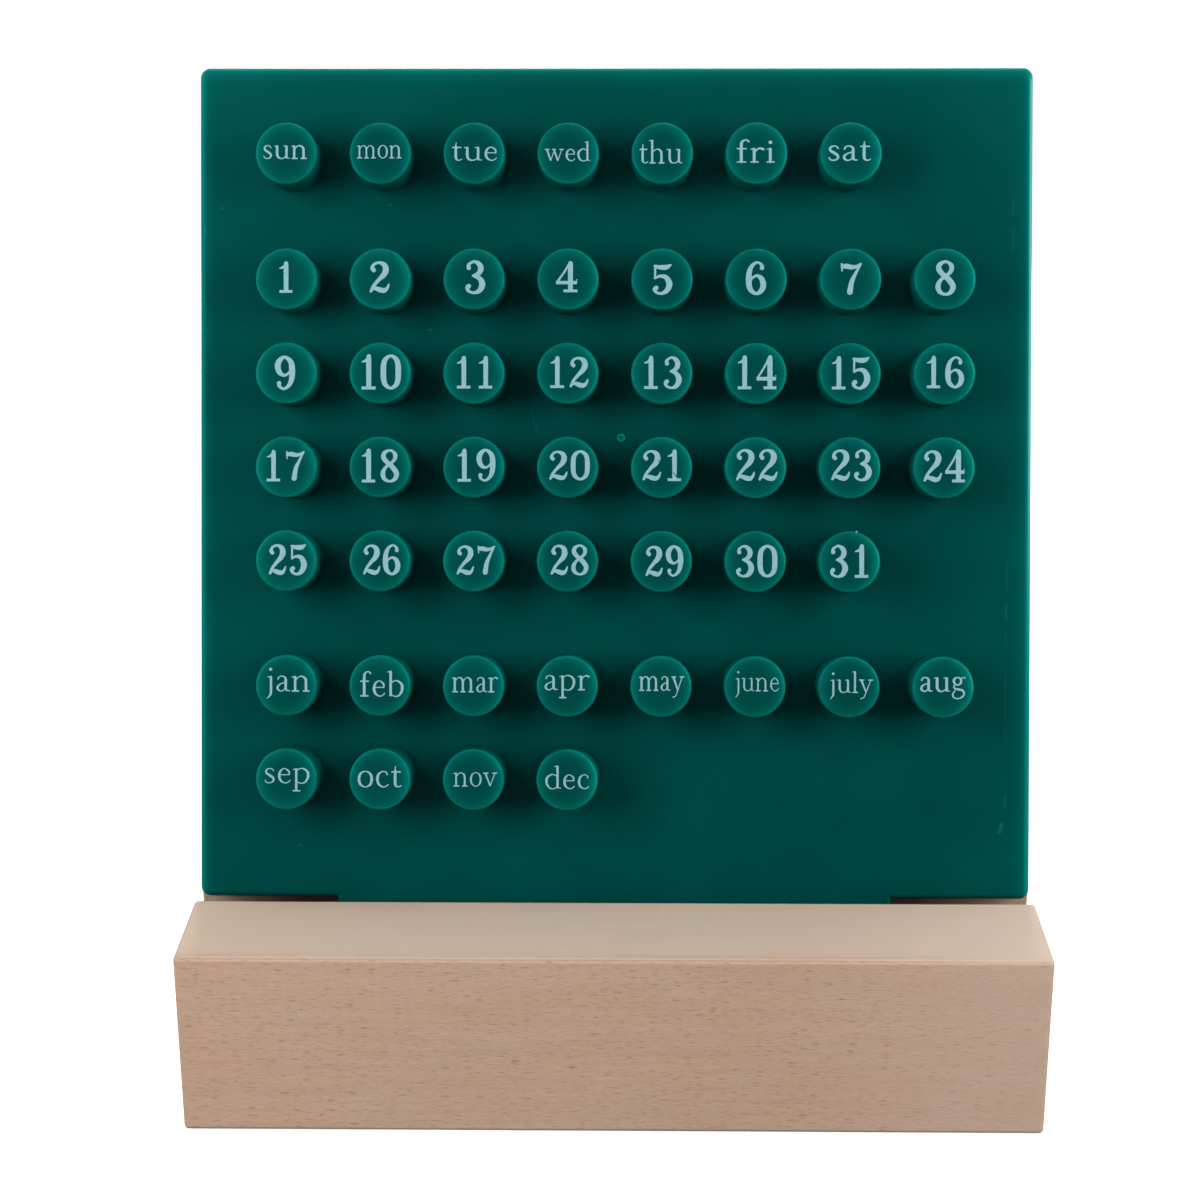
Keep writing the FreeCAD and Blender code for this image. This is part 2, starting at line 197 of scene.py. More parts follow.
# Each date's print: its width and height, and its shift to the right and up, in millimetres
DATE_PRINTS = [
    (2.3, 5.5, -.05, .3), (3.55, 5.55, -.05, .3), (3.55, 5.95, .25, .3), (3.75, 5.45, -.2, .4),
    (3.55, 5.4, .1, -.1), (3.55, 5.95, -.05, .15), (3.7, 5.6, .1, .05), (3.5, 6.2, .1, .2),
    (3.55, 6.05, -.2, 0), (6.9, 6.2, .25, .2), (6.2, 5.7, .15, .15), (6.7, 5.6, .3, .2),
    (6.6, 5.85, .2, .15), (6.75, 5.95, .2, .2), (6.7, 5.85, .15, .1), (6.5, 5.7, .15, .25),
    (6.65, 5.5, -.1, .2), (6.5, 5.95, .1, .25), (6.65, 5.8, .5, .35), (7.15, 5.3, .35, .35),
    (6.75, 5.55, .05, .4), (7.25, 5.6, .2, .45), (7.1, 5.6, .3, .45), (7.2, 5.75, 0, .35),
    (6.65, 5.5, .3, .15), (6.5, 5.5, .35, .2), (6.75, 5.2, .4, .15), (6.6, 5.45, .4, .25),
    (6.55, 5.55, .55, .1), (7.25, 5.75, .25, .1), (6.7, 5.9, -.05, .15),
]
# Pairs of figures stand centred a step apart. Then what is added to the half widths of pairs and of
# single figures. All are shares of the figure's height
PAIR_STEP, PAIR_WEIGHT, SINGLE_WEIGHT = 0.70, -0.018, -0.014
# Spacing of a pen stroke's discs, and how many places its curve has from one point to the next
DISC_STEP, CURVE_STEPS = 0.03, 24
# How often a print's rim steps towards its outline, and how far it may get, as a share of the grid
RIM_MOVES, RIM_REACH = 3, 0.7
# The print of 21 is scratched through in two places: strokes that are left bare
SCRATCHED_DATE = "21"
SCRATCHES = [[(-.55, 1.35, .05), (-.20, .70, .08)], [(2.00, -.75, .04), (2.65, -1.60, .09)]]


# Sizes and colours that a user may change

def length(name, about, value):
    """A length in millimetres, shown in the scene's own unit."""
    return bpy.props.FloatProperty(
        name=name, description=about, default=value * MILLIMETRE, min=0, precision=6,
        subtype="DISTANCE", unit="LENGTH",
    )


def colour(name, about, value):
    return bpy.props.FloatVectorProperty(
        name=name, description=about, default=(*value, 1.0), size=4, min=0, max=1, subtype="COLOR",
    )


class CalendarSizes(bpy.types.PropertyGroup):
    """Lengths of the pegs, the print and the wood's figure."""

    peg_rounding: length("Peg rounding", "Radius of the rounded edge round a peg's top", 0.45)
    glow_depth: length("Glow depth", "How far the light creeps in from the pegs' edges", 0.90)
    print_thickness: length("Print thickness", "How far the print stands above the peg's top", 0.03)
    print_grid: length("Print grid", "Spacing of the grid on which the print is cut out", 0.08)
    fleck_length: length("Fleck length", "Length of the beech's dark flecks along the grain", 2.0)
    fleck_thickness: length("Fleck thickness", "Thickness of the flecks across the grain", 0.25)


class CalendarColours(bpy.types.PropertyGroup):
    """Colours of the plastic, the print, the wood and the floor."""

    board_green: colour("Board green", "Dark green of the board and of the pegs' middles", (0, 0.05, 0.0445))
    rim_green: colour("Rim green", "Lighter green where light leaves the plastic's edges", (0, 0.32, 0.262))
    print_blue: colour("Print", "Pale blue of the printed words and figures", (0.240, 0.435, 0.495))
    beech_front: colour("Beech front", "Colour of the block's front and back", (0.60, 0.40, 0.285))
    # The top's paler, greyer colour is partly the wood's own, partly painted sheen
    beech_top: colour("Beech top", "Paler colour of the block's top", (0.50, 0.39, 0.31))
    beech_fleck: colour("Beech fleck", "Brown of the short flecks in the wood", (0.32, 0.160, 0.100))
    floor_white: colour("Floor", "Colour of the studio floor", (0.92, 0.92, 0.92))


def size(name):
    """One of the user's sizes, in millimetres."""
    return getattr(bpy.context.scene.calendar_sizes, name) / MILLIMETRE


def shade(name):
    """One of the user's colours."""
    return tuple(getattr(bpy.context.scene.calendar_colours, name))


# Where things are on the board

def node_points(node):
    """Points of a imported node's mesh, in metres."""
    mesh = frame["nodes"][node].data
    flat = np.empty(len(mesh.vertices) * 3)
    mesh.vertices.foreach_get("co", flat)
    return flat.reshape(-1, 3)


def on_board(node):
    """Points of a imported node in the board's own directions, in millimetres."""
    return node_points(node) @ BOARD_AXES.T / MILLIMETRE


def in_room(points):
    """Points given in the board's own directions in millimetres, in the room in metres."""
    return np.asarray(points) @ BOARD_AXES * MILLIMETRE


def peg_place(name):
    """A peg's middle across and up the board, the level of its spigot's end and of its top."""
    points = on_board("peg_" + name)
    low, high = points.min(axis=0), points.max(axis=0)
    return (low + high)[:2] / 2, low[2], high[2]


def board_levels():
    """The board's half width, its top along the slope, and the levels of its back and its face."""
    points = on_board("calendar_board")
    return points[:, 0].max(), points[:, 1].max(), points[:, 2].min(), points[:, 2].max()


def shoulder_level():
    """The level along the slope of the board's shoulders, which stand on the block."""
    return peg_place("sep")[0][1] - BOTTOM_MARGIN


def block_places():
    """Where the block's front and the groove's front and rear wall stand, in metres. The edges of
    the groove's floor are the only points deep inside the block."""
    _, depth, height = node_points("base_block").T
    share = height / height.max()
    inside = depth[(np.abs(depth) < 0.8 * depth.max()) & (share > 0.2) & (share < 0.8)]
    return [float(place) for place in (depth.min(), inside.min(), inside.max())]


# Meshes

def add_object(name, data):
    thing = bpy.data.objects.new(name, data)
    bpy.context.scene.collection.objects.link(thing)
    return thing


def add_piece(name, points, faces, finish, body, smooth=True):
    """Make one piece from points in the room and its faces, and let it ride on its body."""
    mesh = bpy.data.meshes.new(name)
    mesh.from_pydata(points.tolist(), [], [face.tolist() for group in faces for face in group])
    if mesh.validate():
        raise RuntimeError("the mesh of %s has faulty faces" % name)
    mesh.polygons.foreach_set("use_smooth", [smooth] * len(mesh.polygons))
    if smooth:
        mesh.set_sharp_from_angle(angle=np.radians(SHARP_ANGLE))
    mesh.materials.append(finish_named(finish))
    piece = add_object(name, mesh)
    if body:
        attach(piece, body)
    return piece


def add_glow(piece, values):
    attribute = piece.data.attributes.new("glow", "FLOAT", "POINT")
    attribute.data.foreach_set("value", np.asarray(values, np.float32))


def turned(profile, segments, closed=True):
    """Points and faces of a turned form. Each radius and height of the profile goes once round
    the axis, at angles evenly spaced. Fans of triangles close both ends on the axis, or only the
    first end where the form isn't closed."""
    radius, height = np.array(profile, float).T
    turn = np.linspace(0, 2 * np.pi, segments, endpoint=False)
    rings = slice(1, -1 if closed else None)
    ring, level = radius[rings, None], height[rings, None]
    round_points = np.stack([ring * np.cos(turn), ring * np.sin(turn), level + 0 * turn], axis=-1)
    points = np.vstack([(0, 0, height[0]), round_points.reshape(-1, 3), *[(0, 0, height[-1])] * closed])
    number = 1 + np.arange(ring.size * segments).reshape(-1, segments)
    after = np.roll(number, -1, axis=1)
    sides = np.stack([number[:-1], after[:-1], after[1:], number[1:]], axis=-1).reshape(-1, 4)
    first, last = np.zeros(segments, int), np.full(segments, len(points) - 1)
    start = np.stack([first, after[0], number[0]], axis=-1)
    end = np.stack([last, number[-1], after[-1]], axis=-1)
    return points, [sides, start, end] if closed else [sides, start]


def quarter_round(radius, height, rounding, steps):
    """Profile points of a rounded upper edge: a quarter circle from the side to the top."""
    angle = np.linspace(0, np.pi / 2, steps)
    inward, down = rounding * (1 - np.cos(angle)), rounding * (1 - np.sin(angle))
    return np.stack([radius - inward, height - down], axis=-1)


# Print

def along(points, closed):
    """Even steps along a smooth curve through pen points: between two points it is a cubic whose
    slope at each one is half the way from the point before to the one after. The half width is
    carried along in the same way."""
    given = np.array(points, float)
    if closed:
        before, here, after, later = (np.roll(given, shift, axis=0) for shift in (1, 0, -1, -2))
    else:
        held = np.vstack([2 * given[0] - given[1], given, 2 * given[-1] - given[-2]])
        before, here, after, later = held[:-3], held[1:-2], held[2:-1], held[3:]
    share = np.linspace(0, 1, CURVE_STEPS, endpoint=False)[None, :, None]
    before, here, after, later = (part[:, None, :] for part in (before, here, after, later))
    curve = 0.5 * (
        2 * here
        + (after - before) * share
        + (2 * before - 5 * here + 4 * after - later) * share ** 2
        + (3 * here - before - 3 * after + later) * share ** 3
    )
    curve = np.vstack([curve.reshape(-1, 3), given[0] if closed else given[-1]])
    way = np.append(0, np.cumsum(np.hypot(*np.diff(curve[:, :2], axis=0).T)))
    stops = np.linspace(0, way[-1], max(2, int(way[-1] / DISC_STEP)))
    return np.stack([np.interp(stops, way, part) for part in curve.T], axis=-1)


def set_line(text, table, gap, step=None):
    """Pen discs and slabs of a line of signs, as shares of the table's height. The signs follow
    each other by their widths and the gap, or stand centred a step apart where one is given."""
    discs, slabs, start = [], [], 0.0
    for sign in text:
        width, strokes = table[sign]
        width /= 100
        place = start + (step - width) / 2 if step else start
        for kind, data in strokes:
            data = np.array(data) / 100
            if kind == "slab":
                slabs.append(data + (place, 0, place, 0))
            else:
                discs.append(along(data, kind == "loop") + (place, 0, 0))
        start += step or width + gap
    return np.vstack(discs), np.array(slabs, float).reshape(-1, 4)


def ink_box(discs, slabs):
    """Lowest and highest corner of the ink."""
    low = (discs[:, :2] - discs[:, 2:]).min(axis=0)
    high = (discs[:, :2] + discs[:, 2:]).max(axis=0)
    if len(slabs):
        low, high = np.minimum(low, slabs[:, :2].min(axis=0)), np.maximum(high, slabs[:, 2:].max(axis=0))
    return low, high


def word_ink(word):
    """Ink of one word in millimetres, in its place about the peg's middle."""
    width, x_height, right, up, heavier = WORDS[word]
    discs, slabs = set_line(word, LETTERS, LETTER_GAP)
    discs[:, 2] = np.maximum(discs[:, 2] + heavier, THINNEST_STROKE)
    return placed(discs, slabs, width, x_height, right, up)


def date_ink(date):
    """Ink of one date in millimetres, in its place about the peg's middle."""
    text = str(int(date))
    width, height, right, up = DATE_PRINTS[int(date) - 1]
    paired = len(text) > 1
    discs, slabs = set_line(text, FIGURES, 0, PAIR_STEP if paired else None)
    discs = discs + (0, 0, PAIR_WEIGHT if paired else SINGLE_WEIGHT)
    low, high = ink_box(discs, slabs)
    return placed(discs, slabs, width, height / (high[1] - low[1]), right, up)


def placed(discs, slabs, width, rise, right, up):
    """Ink stretched to a width, raised by a factor and centred to the right and up."""
    low, high = ink_box(discs, slabs)
    stretch = width / (high[0] - low[0])
    discs, slabs = discs * (stretch, rise, rise), slabs * (stretch, rise, stretch, rise)
    low, high = ink_box(discs, slabs)
    shift = np.array([right, up]) - (low + high) / 2
    return discs + (*shift, 0), slabs + (*shift, *shift)


def ink_distance(places, discs, slabs, bare=()):
    """Distance from each place to the edge of the ink, negative inside: the least of the distances
    to every pen disc and slab, and no less than the distance into a stroke that is left bare."""
    nearest = np.full(len(places), np.inf)
    for some in np.array_split(discs, max(1, len(discs) // 64)):
        apart = np.hypot(places[:, None, 0] - some[:, 0], places[:, None, 1] - some[:, 1])
        nearest = np.minimum(nearest, (apart - some[:, 2]).min(axis=1))
    for left, low, right, high in slabs:
        middle, half = ((left + right) / 2, (low + high) / 2), ((right - left) / 2, (high - low) / 2)
        beyond = np.abs(places - middle) - half
        apart = np.hypot(*np.maximum(beyond, 0).T) + np.minimum(beyond.max(axis=1), 0)
        nearest = np.minimum(nearest, apart)
    for stroke in bare:
        nearest = np.maximum(nearest, -ink_distance(places, along(stroke, False), np.empty((0, 4))))
    return nearest


def ink_sheet(discs, slabs, bare, grid):
    """A flat sheet with the outline of the ink. The squares of a grid whose middles are inside are
    kept, and the points on the sheet's rim then step down the distance's slope onto the outline."""
    low, high = ink_box(discs, slabs)
    across = np.arange(low[0] - grid, high[0] + 2 * grid, grid)
    up = np.arange(low[1] - grid, high[1] + 2 * grid, grid)
    places = np.stack(np.meshgrid(across, up), axis=-1)
    middles = (places[:-1, :-1] + places[1:, 1:]) / 2

    def distance(spots):
        return ink_distance(spots, discs, slabs, bare)

    inside = distance(middles.reshape(-1, 2)).reshape(middles.shape[:2]) < 0
    number = np.arange(places.shape[0] * places.shape[1]).reshape(places.shape[:2])
    corners = [number[:-1, :-1], number[:-1, 1:], number[1:, 1:], number[1:, :-1]]
    squares = np.stack(corners, axis=-1)[inside]
    used, squares = np.unique(squares, return_inverse=True)
    squares = squares.reshape(-1, 4)
    places = places.reshape(-1, 2)[used]
    start, end = squares.ravel(), np.roll(squares, -1, axis=1).ravel()
    alone = ~np.isin(start * len(used) + end, end * len(used) + start)
    rim = np.unique(start[alone])
    moved, small = places[rim], grid / 20
    for _ in range(RIM_MOVES):
        rises = [distance(moved + step) - distance(moved - step) for step in small * np.eye(2)]
        slope = np.stack(rises, axis=-1) / (2 * small)
        slope /= np.maximum(np.linalg.norm(slope, axis=1, keepdims=True), 0.5)
        moved = moved - slope * distance(moved)[:, None]
    reach = moved - places[rim]
    far = np.maximum(np.linalg.norm(reach, axis=1, keepdims=True) / (RIM_REACH * grid), 1)
    places[rim] += reach / far
    return places, squares, np.stack([start[alone], end[alone]], axis=-1)


def add_print(name, ink, bare=()):
    """One peg's print: the ink's sheet just above the peg's top, with a skirt down into it."""
    middle, _, top = peg_place(name)
    places, squares, rim = ink_sheet(*ink, bare, size("print_grid"))
    below, raised = len(places), size("print_thickness")
    levels = np.repeat([top + raised, top - raised], below)
    points = np.column_stack([np.tile(places + middle, (2, 1)), levels])
    skirt = np.stack([rim[:, 1], rim[:, 0], rim[:, 0] + below, rim[:, 1] + below], axis=-1)
    faces = [squares, squares[:, ::-1] + below, skirt]
    add_piece("print_" + name, in_room(points), faces, "print_ink", "board", smooth=False)


# Finishes

class Finish:
    """A finish in the making: short calls add its nodes and join them."""

    def __init__(self, name):
        self.material = bpy.data.materials.new(name)
        self.material.use_nodes = True
        self.tree = self.material.node_tree
        self.tree.nodes.clear()
        self.shader = self.add("ShaderNodeBsdfPrincipled")
        self.add("ShaderNodeOutputMaterial", {"Surface": self.shader.outputs["BSDF"]})
        self.here = self.add("ShaderNodeTexCoord").outputs["Object"]

    def add(self, kind, inputs=None, **settings):
        node = self.tree.nodes.new(kind)
        for setting, value in settings.items():
            setattr(node, setting, value)
        for socket, value in (inputs or {}).items():
            self.feed(node.inputs[socket], value)
        return node

    def feed(self, socket, value):
        if isinstance(value, bpy.types.NodeSocket):
            self.tree.links.new(value, socket)
        else:
            socket.default_value = value

    def surface(self, **values):
        """Set or join the shader's own sockets, named with underscores for spaces."""
        for name, value in values.items():
            self.feed(self.shader.inputs[name.replace("_", " ")], value)

    def math(self, operation, value, *others):
        """Work on a value with each of the others in turn."""
        for other in others or (0.0,):
            value = self.add("ShaderNodeMath", {0: value, 1: other}, operation=operation).outputs[0]
        return value

    def times(self, *values):
        return self.math("MULTIPLY", *values)

    def plus(self, *values):
        return self.math("ADD", *values)

    def minus(self, *values):
        return self.math("SUBTRACT", *values)

    def vector(self, operation, first, second, output="Vector"):
        return self.add("ShaderNodeVectorMath", {0: first, 1: second}, operation=operation).outputs[output]

    def parts(self, vector):
        return self.add("ShaderNodeSeparateXYZ", {0: vector}).outputs

    def blend(self, share, first, second, mode="MIX"):
        node = self.add("ShaderNodeMix", data_type="RGBA", blend_type=mode, clamp_factor=True)
        for socket, value in ((node.inputs[0], share), (node.inputs[6], first), (node.inputs[7], second)):
            self.feed(socket, value)
        return node.outputs[2]

    def toned(self, tint, tone):
        """The tint, made darker or lighter by a factor."""
        grey = self.add("ShaderNodeCombineColor", {0: tone, 1: tone, 2: tone}).outputs[0]
        return self.blend(1.0, tint, grey, "MULTIPLY")

    def rise(self, value, low, high, start=0.0, end=1.0):
        """A soft step from start to end as the value goes from low to high."""
        inputs = {"Value": value, "From Min": low, "From Max": high, "To Min": start, "To Max": end}
        return self.add("ShaderNodeMapRange", inputs, interpolation_type="SMOOTHSTEP").outputs["Result"]

    def swing(self, value, start, end):
        """Stretch the range in which nearly all of a noise lies to go from start to end."""
        return self.rise(value, 0.3, 0.7, start, end)

    def step(self, value, low, high, start=0.0, end=1.0):
        """A soft step of a length, with low and high in millimetres."""
        return self.rise(value, low * MILLIMETRE, high * MILLIMETRE, start, end)

    def noise(self, grain, detail=2.0, roughness=0.5, distortion=0.0):
        """Noise with grains of this size in millimetres, or of this width, depth and height."""
        scale = 1 / (MILLIMETRE * np.ones(3) * grain)
        place = self.add("ShaderNodeMapping", {"Vector": self.here, "Scale": scale}).outputs[0]
        inputs = {"Vector": place, "Scale": 1.0, "Detail": detail, "Roughness": roughness,
                  "Distortion": distortion}
        return self.add("ShaderNodeTexNoise", inputs).outputs["Fac"]

    def bump(self, *layers):
        """Layers of height in millimetres, each with the depth that its full range stands for."""
        normal = None
        for height, depth in layers:
            inputs = {"Height": height, "Distance": depth * MILLIMETRE, "Strength": 1.0}
            if normal is not None:
                inputs["Normal"] = normal
            normal = self.add("ShaderNodeBump", inputs).outputs["Normal"]
        self.feed(self.shader.inputs["Normal"], normal)


# Where the heart of the beech's year rings lies, behind the middle and up, in metres, and how wide
# the rings are and how much they sway, in millimetres
HEART = (0.085, 0.004)
YEAR_WIDTH, YEAR_SWAY = 2.9, 9
# More shades of the beech: along the front arris (partly painted shade), on the ends, in dark and rosy
# clouds, painted shadow in the groove, painted shade on the rounded arrises, and towards the right end
ARRIS_SHADE, END_SHADE = (0.46, 0.315, 0.225, 1), (0.40, 0.26, 0.175, 1)
DARK_SHADE, ROSY_SHADE = (0.56, 0.335, 0.22, 1), (0.58, 0.43, 0.325, 1)
GROOVE_SHADOW_SHADE, ARRIS_PAINTED_SHADE, PALE_SHADE = (0.055, 0.022, 0.018, 1), (0.24, 0.15, 0.10, 1), (0.68, 0.52, 0.42, 1)


def beech(name):
    """Fine-sanded beech. The grain runs across the block. Its rays are thin flakes that run from
    front to back: cut across, on the front, they show as short dark flecks."""
    make = Finish(name)
    front, groove_front, groove_rear = block_places()
    x, y, z = make.parts(make.here)
    facing = make.parts(make.add("ShaderNodeTexCoord").outputs["Normal"])
    endward, forward, upward = (
        make.rise(make.math("ABSOLUTE", part), low, high)
        for part, low, high in zip(facing, (0.4, 0.4, 0.35), (0.9, 0.9, 0.95))
    )
    slow = make.noise((60, 18, 12))
    streaks = make.noise((34, 1.8, 1.1), 3, 0.55, 0.2)
    fine = make.noise((3.0, 0.5, 0.24))
    rosy = make.noise((13, 7, 6))

    # Year rings: even steps of distance from the heart
    sway = make.times(make.noise((90, 60, 60), 1, 0.4), YEAR_SWAY * MILLIMETRE)
    back, level = make.minus(HEART[0], y), make.minus(z, HEART[1])
    span = make.math("SQRT", make.plus(make.times(back, back), make.times(level, level)))
    years = make.math("DIVIDE", make.plus(span, sway), YEAR_WIDTH * MILLIMETRE)
    late = make.rise(make.math("FRACT", years), 0.55, 0.98)

    # Flecks: the peaks of a noise that is long along the grain and thin across it
    long, thick = size("fleck_length"), size("fleck_thickness")
    strong = make.rise(make.noise((long, 9, thick), 1, 0.4), 0.57, 0.75)
    faint = make.rise(make.noise((long * 0.7, 7, thick * 0.8), 2, 0.6), 0.48, 0.74)
    fleck = make.math("MINIMUM", make.plus(make.times(strong, 0.66), make.times(faint, 0.36)), 1.0)
    shown = make.plus(make.times(forward, 0.70), make.times(endward, 0.5), make.times(upward, 0.06))

    # The top is calmer than the front. Its paler, greyer colour is partly the wood's own, partly painted
    # sheen. The warmer, darker band along the front arris is partly the wood's tone, partly painted shade
    # that dims the arris's highlight
    calm = make.minus(1.0, make.times(upward, 0.6))
    arris = make.times(make.step(make.minus(y, front), 0.6, 3.2, 0.75, 0.0), upward,
                       make.rise(slow, 0.3, 0.6, 0.4, 1.0))
    wood = make.blend(upward, shade("beech_front"), shade("beech_top"))
    wood = make.blend(arris, wood, ARRIS_SHADE)
    wood = make.blend(make.times(endward, 0.75), wood, END_SHADE)
    wood = make.blend(make.times(make.rise(slow, 0.35, 0.68, 0.0, 0.32), calm), wood, DARK_SHADE)
    wood = make.blend(make.times(make.rise(rosy, 0.40, 0.68, 0.0, 0.38), calm), wood, ROSY_SHADE)
    unrest = make.plus(make.swing(streaks, -0.03, 0.03), make.swing(fine, -0.03, 0.03))
    ringed = make.times(late, make.plus(0.012, make.times(endward, 0.06)))
    wood = make.toned(wood, make.minus(make.plus(1.0, make.times(unrest, calm)), ringed))
    wood = make.blend(make.times(fleck, shown), wood, shade("beech_fleck"))

    # Painted shadow: the groove's walls are painted dark where the board shades them, most of all beside
    # the board's tongue
    before, behind = make.minus(y, groove_front), make.minus(y, groove_rear)
    sunk = make.times(make.step(before, -0.2, -0.1), make.step(behind, 0.1, 0.2, 1.0, 0.0))
    outer = make.step(make.math("ABSOLUTE", x), 55, 74, 0.92, 0.35)
    lengthwise = make.minus(1.0, endward)
    wood = make.blend(make.times(sunk, outer, lengthwise), wood, GROOVE_SHADOW_SHADE)

    # The rounded arrises are painted a little darker, a painted shade that tones down the light they
    # catch, and the wood is paler towards its right end
    bend = make.math("MINIMUM", make.times(upward, forward, 2.2), 1.0)
    wood = make.blend(make.times(bend, 0.50), wood, ARRIS_PAINTED_SHADE)
    pale = make.step(make.plus(x, make.times(slow, 0.03)), 45, 88, 0.0, 0.30)
    wood = make.blend(make.times(pale, lengthwise), wood, PALE_SHADE)

    make.surface(Base_Color=wood, Roughness=make.plus(0.50, make.times(fine, 0.16)), Specular_IOR_Level=0.35)
    make.bump((streaks, 0.012), (fine, 0.010), (fleck, -0.008))
    return make.material


# Glow along the board's edges: which edge, how deep it creeps in, in millimetres, and its strength
BOARD_GLOW = [
    ("left", 0.14, 0.30), ("left", 0.70, 0.60),
    ("right", 0.14, 0.30), ("right", 0.80, 0.48), ("right", 6.0, 0.03),
    ("top", 0.14, 0.10), ("top", 0.75, 0.62), ("top", 7.6, 0.065),
]
# Fine scratches on the board: where each starts and ends, across the board and up from its
# shoulders, then its width and strength
BOARD_SCRATCHES = [
    (71, 125, 70.9, 122.5, .4, .1), (70.9, 119.5, 70.9, 116, .4, .08), (70.5, 77, 70.4, 70, .24, .06),
    (70.2, 60, 70.1, 55.5, .28, .09), (70, 53, 70, 50, .28, .15), (70, 48, 70, 45.5, .24, .1),
    (69.9, 40, 69.9, 33, .26, .15), (69.9, 30.5, 69.9, 28, .24, .07), (70, 18.6, 69.9, 16.5, .4, .14),
    (69.4, 13.5, 68.9, 12, .6, .22), (-15.1, 87.5, -13.9, 83.3, .2, .14),
    (-33.4, 101.8, -33, 101.8, .38, .3), (-73.5, 120, -73.5, 119.2, .38, .32),
    (-70.7, 123.5, -70.3, 123.5, .35, .2), (-40.6, 124.1, -40.2, 124.1, .35, .18),
    (-56.7, 9.3, -56.3, 9.3, .35, .18),
]
# Colour of the scratches, and the pale green of the painted highlight on the right arris
SCRATCH_SHADE, ARRIS_HIGHLIGHT_GREEN = (0.02, 0.20, 0.17, 1), (0.125, 0.42, 0.42, 1)


def scratch(make, place, start, end, width, strength):
    """How much a fine straight scratch shows: full on the line from start to end, given across
    and up the board in millimetres, and nothing a width away from it."""
    begin = np.array([start[0], start[1] + shoulder_level(), 0.0]) * MILLIMETRE
    course = np.array([end[0] - start[0], end[1] - start[1], 0.0]) * MILLIMETRE
    offset = make.vector("SUBTRACT", place, tuple(begin))
    share = make.vector("DOT_PRODUCT", offset, tuple(course / (course @ course)), "Value")
    held = make.math("MINIMUM", make.math("MAXIMUM", share, 0.0), 1.0)
    inputs = {0: tuple(course), "Scale": held}
    nearest = make.add("ShaderNodeVectorMath", inputs, operation="SCALE").outputs[0]
    return make.step(make.vector("DISTANCE", offset, nearest, "Value"), 0.0, width, strength, 0.0)


def board_marks(make, worn):
    """Glow, wear and painted highlight of the board, from the distances in from its edges."""
    half_width, top, back, face = board_levels()
    turn = np.arctan2(SLOPE[2], SLOPE[1])
    inputs = {"Vector": make.here, "Rotation": (turn, 0, 0)}
    place = make.add("ShaderNodeMapping", inputs, vector_type="TEXTURE").outputs[0]
    across, up, out = make.parts(place)
    edges = {
        "left": make.plus(across, half_width * MILLIMETRE),
        "right": make.minus(half_width * MILLIMETRE, across),
        "top": make.minus(top * MILLIMETRE, up),
    }
    # Along the right edge, the glow has an even part too, about a millimetre wide
    glow = make.step(edges["right"], 0.7, 1.3, 0.15, 0.0)
    for edge, depth, strength in BOARD_GLOW:
        share = make.math("DIVIDE", edges[edge], -depth * MILLIMETRE)
        glow = make.plus(glow, make.times(make.math("EXPONENT", share), strength))
    # Halfway between face and back, the board's narrow sides are darker again
    middle = (back + face) / 2
    apart = make.math("ABSOLUTE", make.minus(out, middle * MILLIMETRE))
    glow = make.math("MINIMUM", make.times(glow, make.step(apart, 0.3, 1.9, 0.42, 1.0)), 1.0)

    flat = make.vector("MULTIPLY", place, (1, 1, 0))
    for *ends, width, strength in BOARD_SCRATCHES:
        worn = make.math("MAXIMUM", worn, scratch(make, flat, ends[:2], ends[2:], width, strength))
    # Painted highlight: the upper half of the right arris is painted pale, as a reflection of the right lamp
    shoulders = shoulder_level()
    arris_highlight = make.times(
        make.step(edges["right"], 0.06, 0.20), make.step(edges["right"], 0.42, 0.66, 1, 0),
        make.step(edges["top"], 1.2, 3.0), make.step(up, shoulders + 36, shoulders + 96),
        make.step(out, middle, face - 0.8), 0.85,
    )
    return glow, worn, arris_highlight


def green_plastic(name, on_pegs):
    """Dark green moulded plastic, a little cloudy. It glows where light leaves its edges."""
    make = Finish(name)
    clouds = make.noise(22, 3)
    specks = make.noise(0.5, 2, 0.6)
    peel = make.noise(0.9)
    waves = make.noise(16, 1, 0.4)
    worn = make.rise(make.noise((0.4, 30, 0.4), 3, 0.7), 0.62, 0.78, 0.0, 0.06)
    if on_pegs:
        glow = make.add("ShaderNodeAttribute", attribute_name="glow").outputs["Fac"]
        glow = make.times(glow, make.swing(make.noise(2.2, 2, 0.6), 0.84, 1.16))
        arris_highlight = 0.0
    else:
        glow, worn, arris_highlight = board_marks(make, worn)
    green = make.blend(glow, shade("board_green"), shade("rim_green"))
    green = make.toned(green, make.plus(make.swing(clouds, 0.94, 1.06), make.swing(specks, -0.02, 0.02)))
    green = make.blend(worn, green, SCRATCH_SHADE)
    # Painted highlight along the board's right arris; the pegs have none
    green = make.blend(arris_highlight, green, ARRIS_HIGHLIGHT_GREEN)
    make.surface(
        Base_Color=green,
        Roughness=make.plus(make.swing(clouds, 0.36, 0.44), make.times(worn, 0.3)),
        Specular_IOR_Level=0.16,
        Specular_Tint=(0.03, 1.0, 0.95, 1.0),
    )
    make.bump((waves, 0.010), (peel, 0.0025))
    return make.material


def pale_print(name):
    """Pale blue print, thinly and a little unevenly laid down."""
    make = Finish(name)
    mottle = make.noise(0.45, 3, 0.6)
    thin = make.noise(1.6)
    ink = make.blend(make.rise(mottle, 0.35, 0.72, 0.0, 0.28), shade("print_blue"), (0.10, 0.27, 0.31, 1))
    ink = make.blend(make.rise(thin, 0.45, 0.75, 0.0, 0.22), ink, (0.33, 0.44, 0.52, 1))
    make.surface(Base_Color=ink, Roughness=make.swing(mottle, 0.55, 0.7), Specular_IOR_Level=0.2)
    make.bump((mottle, 0.004))
    return make.material


